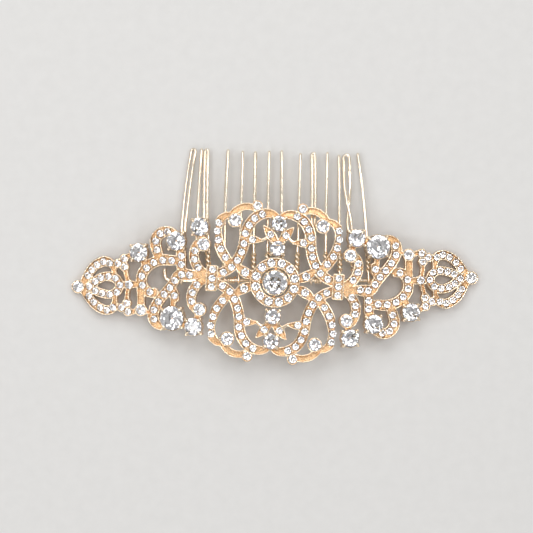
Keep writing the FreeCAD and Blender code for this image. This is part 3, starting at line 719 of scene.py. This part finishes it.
def tine_stations(index, tip_y):
    """Up the twisted stem and along the tine: y, turn of the two legs, and their spacing."""
    roll, spread = TINES[index][4:]
    stations = []
    steps = TURN_STEPS * TWIST_TURNS
    for step in range(steps + 1):
        y = RAIL_Y + TWIST_START + (TWIST_END - RAIL_Y - TWIST_START) * step / steps
        stations.append((y, 90 + (roll - 90 + 360 * TWIST_TURNS) * step / steps, LEG_SPACING))
    for step in range(1, LEG_STEPS + 1):
        share = step / LEG_STEPS
        crossing = 180 * min(1, max(0, 2 * share - 0.5)) if index == CROSSED_TINE else 0
        gap = LEG_SPACING + spread * min(1, 2 * share)
        stations.append((TWIST_END + (tip_y - TWIST_END) * share, roll + crossing, gap))
    return stations


def tine_route(index):
    """Over the rail, twisted together, then out to the fold at the tip and back."""
    base_x = TINE_PITCH * (index - (TINE_COUNT - 1) / 2)
    tip_lean, mid_lean, shorter, mid = TINES[index][:4]
    tip_y = TINE_TIP_Y - shorter
    base_z = rail_z(base_x)
    arch = 1 - (base_x / (TINE_PITCH * TINE_COUNT / 2)) ** 2
    tip_z = TIP_LIFT + TIP_ARCH * arch
    bow = (mid_lean - tip_lean * mid) / (mid * (1 - mid))
    loop = (RAIL_WIRE + TINE_WIRE) / 2 + WRAP_GAP
    legs = []
    for sign in (1, -1):
        leg = []
        for degrees in LOOP_ANGLES:
            angle = math.radians(degrees)
            leg.append(Vector((base_x, RAIL_Y + loop * math.cos(angle),
                               base_z + sign * loop * math.sin(angle))))
        for y, turn, gap in tine_stations(index, tip_y):
            share = (y - RAIL_Y) / (tip_y - RAIL_Y)
            x = base_x + TINE_PITCH * (tip_lean * share + bow * share * (1 - share))
            z = base_z + (tip_z - base_z) * share ** DROOP
            angle = math.radians(turn)
            half = sign * gap / 2
            leg.append(Vector((x + half * math.cos(angle), y, z + half * math.sin(angle))))
        legs.append(leg)
    return legs[0] + legs[1][::-1]


def wire_jig():
    """Rounds a route's corners and draws a round wire along it."""
    jig = Jig("drawn_wire", {"Wire radius": "Float", "Bend radius": "Float", "Finish": "Material"})
    route = jig.node("GeometryNodeMeshToCurve", {}, {"Mesh": jig.given("Geometry")})
    bent = jig.node("GeometryNodeFilletCurve", {"mode": "POLY"}, {
        "Curve": route, "Count": BEND_STEPS, "Radius": jig.given("Bend radius"),
        "Limit Radius": True})
    section = jig.node("GeometryNodeCurvePrimitiveCircle", {}, {
        "Resolution": WIRE_SIDES, "Radius": jig.given("Wire radius")})
    wire = jig.node("GeometryNodeCurveToMesh", {}, {
        "Curve": bent, "Profile Curve": section, "Fill Caps": True})
    soft = jig.node("GeometryNodeSetShadeSmooth", {}, {"Geometry": wire})
    return jig.ends(jig.made_real(soft))


WIRE = wire_jig()


def drawn(name, routes, wire, bend, node):
    """Wires along routes that are given in millimetres from the rosette's axis."""
    corners = []
    runs = []
    for route in routes:
        first = len(corners)
        corners += [(Vector((AXIS.x, AXIS.y, 0)) + spot) * MM for spot in route]
        runs += [(k, k + 1) for k in range(first, len(corners) - 1)]
    mesh = bpy.data.meshes.new(name)
    mesh.from_pydata(corners, runs, [])
    piece = give(linked(name, mesh), WIRE, {
        "Wire radius": wire / 2 * MM, "Bend radius": bend * MM, "Finish": WIRE_GOLD})
    return place(piece, "plated_wire", node)


RAIL_HALF_ROUTE = [(JOINT_X, 0), (RAIL_HALF, 0), (RAIL_HALF, RAIL_HOOK)]
rail = [Vector((-x, RAIL_Y + y, rail_z(x))) for x, y in RAIL_HALF_ROUTE[::-1]]
rail += [Vector((x, RAIL_Y + y, rail_z(x))) for x, y in RAIL_HALF_ROUTE]
drawn("rail_wire", [rail], RAIL_WIRE, RAIL_BEND, "comb_rail")
for index in range(TINE_COUNT):
    node = "tine_%02d" % (index + 1)
    drawn(node + "_wire", [tine_route(index)], TINE_WIRE, WIDEST_BEND, node)

COIL_WIRE = 0.6
COIL_TURNS = 3
COIL_PITCH = 0.68
COIL_X = 3 * TINE_PITCH
COIL_R = (RAIL_WIRE + COIL_WIRE) / 2 + 0.06
coils = []
for side in (-1, 1):
    coil = []
    for step in range(TURN_STEPS * COIL_TURNS + 1):
        turns = step / TURN_STEPS
        angle = 2 * math.pi * turns
        x = side * COIL_X + COIL_PITCH * (turns - COIL_TURNS / 2)
        coil.append(Vector((x, RAIL_Y + COIL_R * math.cos(angle),
                            rail_z(x) + COIL_R * math.sin(angle))))
    coils.append(coil)
drawn("binding_coil_wires", coils, COIL_WIRE, WIDEST_BEND, "binding_coils")

# ---- Solder --------------------------------------------------------------------
# Four blobs of solder hold the rail to the backs of the castings. They are grey-gold,
# wetted onto the rail, and rough where the flux was not cleaned off.
SOLDER_GOLD = plated_gold("solder_gold", (0.82, 0.58, 0.36, 1.0), (0.55, 0.33, 0.16, 1.0), 0.30, 0.9)
SOLDER_VOXEL = 0.12
NO_FLOOR = -5.0
tumbled("solder_blobs", "solder_pads", "solder", SOLDER_GOLD, Vector((0, 0, 1)), NO_FLOOR,
        SOLDER_VOXEL, 6, 20000)

# ---- Stage, light and camera ---------------------------------------------------
# A pale table, a large soft light beyond the tines, a smaller one on the near side and
# small bright panels for the crystals to catch. The camera looks straight down.
TABLE_HALF = 1.5
ROOM_COLOUR = (1.0, 0.985, 0.97, 1.0)
ROOM_GLOW = 0.44
VIEW_WIDTH = 149.1
VIEW_DISTANCE = 500.0
VIEW_MIDDLE = (-2.38, 4.53)
SENSOR = 36.0


def pale_table():
    table = Finish("pale_table")
    tint = table.mix(table.noise(300.0, 3.0), (0.66, 0.655, 0.645, 1.0), (0.72, 0.715, 0.705, 1.0))
    return table.surface({"Base Color": tint, "Roughness": 0.7})


board = bpy.data.meshes.new("table")
board.from_pydata([(x * TABLE_HALF, y * TABLE_HALF, 0) for x, y in ((-1, -1), (1, -1), (1, 1), (-1, 1))],
                  [], [(0, 1, 2, 3)])
board.materials.append(pale_table())
linked("table", board)

# Each light's name, place and width in metres, and power in watts. All look at the comb.
LIGHTS = [
    ("sky_soft", (-0.10, 0.45, 0.60), 0.55, 2.0),
    ("near_soft", (0.35, -0.45, 0.55), 0.30, 0.45),
    ("left_spark", (-0.45, 0.05, 0.40), 0.10, 0.35),
    ("right_spark", (0.40, 0.20, 0.50), 0.09, 0.35),
    ("high_spark", (0.10, 0.08, 0.80), 0.14, 0.45),
    ("low_spark", (-0.20, -0.40, 0.45), 0.10, 0.3),
    ("far_spark", (0.22, 0.10, 0.72), 0.10, 0.35),
    ("side_spark", (-0.30, -0.12, 0.70), 0.12, 0.35),
]
for name, spot, width, power in LIGHTS:
    lamp = bpy.data.lights.new(name, "AREA")
    lamp.size = width
    lamp.energy = power
    holder = linked(name, lamp)
    holder.location = spot
    holder.rotation_euler = Vector(spot).to_track_quat("Z", "Y").to_euler()

world = bpy.data.worlds.new("room")
world.use_nodes = True
glow = world.node_tree.nodes["Background"].inputs
glow["Color"].default_value = ROOM_COLOUR
glow["Strength"].default_value = ROOM_GLOW
bpy.context.scene.world = world

lens = bpy.data.cameras.new("camera")
lens.lens = SENSOR * VIEW_DISTANCE / VIEW_WIDTH
camera = linked("camera", lens)
camera.location = (AXIS + Vector((*VIEW_MIDDLE, VIEW_DISTANCE))) * MM
bpy.context.scene.camera = camera
bpy.context.scene.view_settings.view_transform = "Standard"
